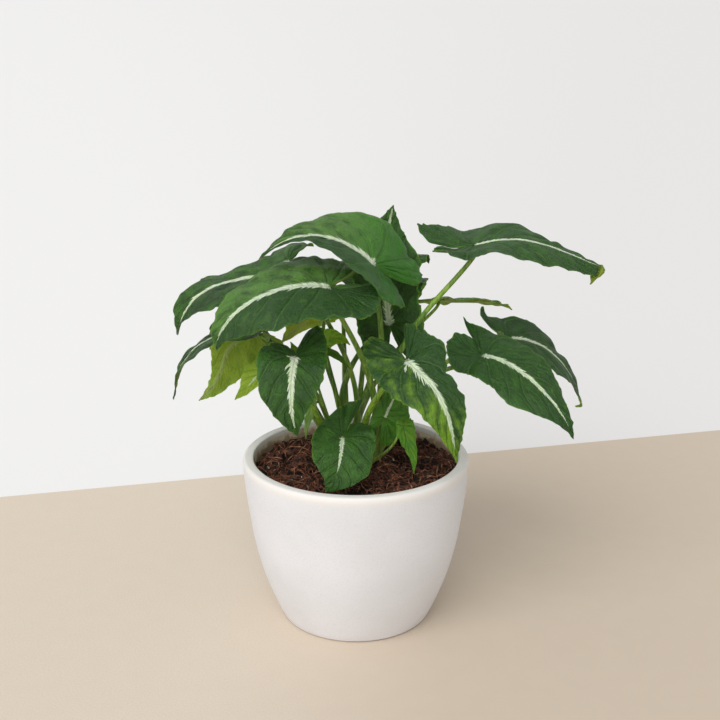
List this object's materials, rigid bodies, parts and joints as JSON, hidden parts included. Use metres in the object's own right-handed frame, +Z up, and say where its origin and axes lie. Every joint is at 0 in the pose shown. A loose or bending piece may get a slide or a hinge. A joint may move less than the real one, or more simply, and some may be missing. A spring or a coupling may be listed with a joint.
{
  "type": "potted arrowhead vine",
  "caption": "Bushy arrowhead vine with pale-ribbed heart-shaped leaves on upright stalks, growing from soil in a plain white bellied pot.",
  "frame": {"origin": "centre of the pot's flat base", "axes": "+Z up, -Y towards the front of the plant, +X to its right as seen from the front"},
  "size_m": [0.295, 0.2018, 0.2901],
  "materials": {
    "pot": "matt white with a fine sandy speckle",
    "soil": "loose dark coir and bark",
    "stem": "satin light green",
    "leaf_dark": "satin dark green with a cream stripe along the midrib",
    "leaf_bright": "satin yellow-green"
  },
  "bodies": {
    "root": {"pot": "pot", "soil": "soil", "stem_left": "stem", "stem_back": "stem", "stem_front": "stem", "stem_right": "stem", "leaf_back_left": "leaf_dark", "leaf_back_low": "leaf_dark", "leaf_back_middle": "leaf_dark", "leaf_back_right": "leaf_dark", "leaf_back_small": "leaf_dark", "leaf_behind": "leaf_bright", "leaf_curled": "leaf_bright", "leaf_front_left": "leaf_dark", "leaf_front_low": "leaf_dark", "leaf_front_right": "leaf_dark", "leaf_left_large": "leaf_dark", "leaf_left_low": "leaf_dark", "leaf_left_small": "leaf_bright", "leaf_left_turned": "leaf_bright", "leaf_left_upper": "leaf_dark", "leaf_low_left": "leaf_bright", "leaf_low_middle": "leaf_dark", "leaf_low_right": "leaf_bright", "leaf_middle_small": "leaf_bright", "leaf_middle_turned": "leaf_bright", "leaf_right_back": "leaf_dark", "leaf_right_large": "leaf_dark", "leaf_right_upper": "leaf_dark", "leaf_top": "leaf_dark", "leaf_upright": "leaf_dark"}
  },
  "joints": []
}
